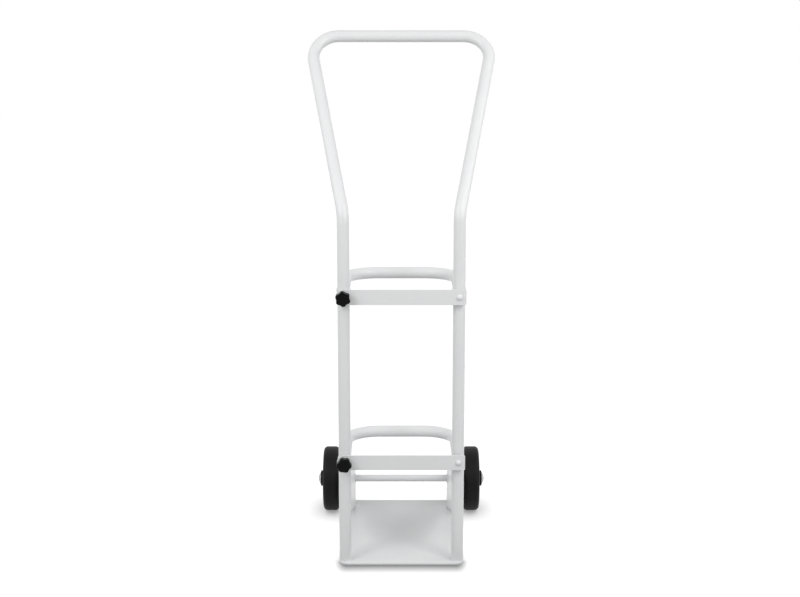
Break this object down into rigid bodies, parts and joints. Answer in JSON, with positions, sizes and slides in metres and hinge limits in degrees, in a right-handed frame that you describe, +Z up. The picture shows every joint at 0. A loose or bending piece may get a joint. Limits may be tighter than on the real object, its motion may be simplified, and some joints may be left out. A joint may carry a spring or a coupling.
{
  "type": "gas cylinder trolley",
  "caption": "Upright trolley for one tall gas cylinder: bent tube frame with a raked handle, rear cradles, swinging front straps clamped by star knobs, toe plate and rear wheels.",
  "frame": {"origin": "on the floor, midway between the axes of the two uprights", "axes": "+X to the trolley's right as seen from the front, +Y to the back, towards the wheels, +Z up"},
  "size_m": [0.4446, 0.4988, 1.229],
  "materials": {
    "powder_coat_white": "white powder coat with a fine orange peel, over steel",
    "zinc_plate": "dull zinc plate",
    "tyre_rubber": "matt black rubber",
    "rim_plastic": "moulded black plastic",
    "knob_plastic": "moulded black plastic with a satin sheen",
    "nylon": "natural nylon"
  },
  "bodies": {
    "frame": {"main_frame": "powder_coat_white", "upper_cradle": "powder_coat_white", "lower_cradle": "powder_coat_white", "toe_plate": "powder_coat_white", "left_axle_bracket": "powder_coat_white", "right_axle_bracket": "powder_coat_white", "axle": "powder_coat_white", "left_spacer": "zinc_plate", "right_spacer": "zinc_plate", "left_axle_cap": "zinc_plate", "right_axle_cap": "zinc_plate", "upper_clamp_boss": "powder_coat_white", "lower_clamp_boss": "powder_coat_white", "upper_pivot_boss": "powder_coat_white", "lower_pivot_boss": "powder_coat_white", "upper_pivot_washer": "nylon", "lower_pivot_washer": "nylon", "upper_pivot_bolt": "powder_coat_white", "lower_pivot_bolt": "powder_coat_white"},
    "left_wheel": {"left_tyre": "tyre_rubber", "left_rim": "rim_plastic", "left_bush": "nylon"},
    "right_wheel": {"right_tyre": "tyre_rubber", "right_rim": "rim_plastic", "right_bush": "nylon"},
    "upper_strap": {"upper_strap": "powder_coat_white"},
    "lower_strap": {"lower_strap": "powder_coat_white"},
    "upper_stud": {"upper_knob_stud": "zinc_plate"},
    "lower_stud": {"lower_knob_stud": "zinc_plate"},
    "upper_knob": {"upper_knob": "knob_plastic"},
    "lower_knob": {"lower_knob": "knob_plastic"}
  },
  "joints": [
    {"name": "left_wheel_spin", "type": "hinge", "parent": "frame", "child": "left_wheel", "pos_m": [0, 0.368, 0.0825], "axis": [1, 0, 0], "continuous": true},
    {"name": "right_wheel_spin", "type": "hinge", "parent": "frame", "child": "right_wheel", "pos_m": [0, 0.368, 0.0825], "axis": [1, 0, 0], "continuous": true},
    {"name": "upper_strap_swing", "type": "hinge", "parent": "frame", "child": "upper_strap", "pos_m": [0.1315, -0.022, 0.639], "axis": [0, 1, 0], "range_deg": [0, 180]},
    {"name": "lower_strap_swing", "type": "hinge", "parent": "frame", "child": "lower_strap", "pos_m": [0.1315, -0.022, 0.25], "axis": [0, 1, 0], "range_deg": [0, 180]},
    {"name": "upper_stud_screw", "type": "slide", "parent": "frame", "child": "upper_stud", "axis": [0, -1, 0], "range_m": [0, 0.005]},
    {"name": "lower_stud_screw", "type": "slide", "parent": "frame", "child": "lower_stud", "axis": [0, -1, 0], "range_m": [0, 0.005]},
    {"name": "upper_knob_turn", "type": "hinge", "parent": "upper_stud", "child": "upper_knob", "pos_m": [-0.1315, -0.036, 0.639], "axis": [0, -1, 0], "range_deg": [0, 1440]},
    {"name": "lower_knob_turn", "type": "hinge", "parent": "lower_stud", "child": "lower_knob", "pos_m": [-0.1315, -0.036, 0.25], "axis": [0, -1, 0], "range_deg": [0, 1440]}
  ],
  "couplings": [
    {"joint": "upper_knob_turn", "follows": "upper_stud_screw", "rad_per_m": 5026.5},
    {"joint": "lower_knob_turn", "follows": "lower_stud_screw", "rad_per_m": 5026.5}
  ]
}
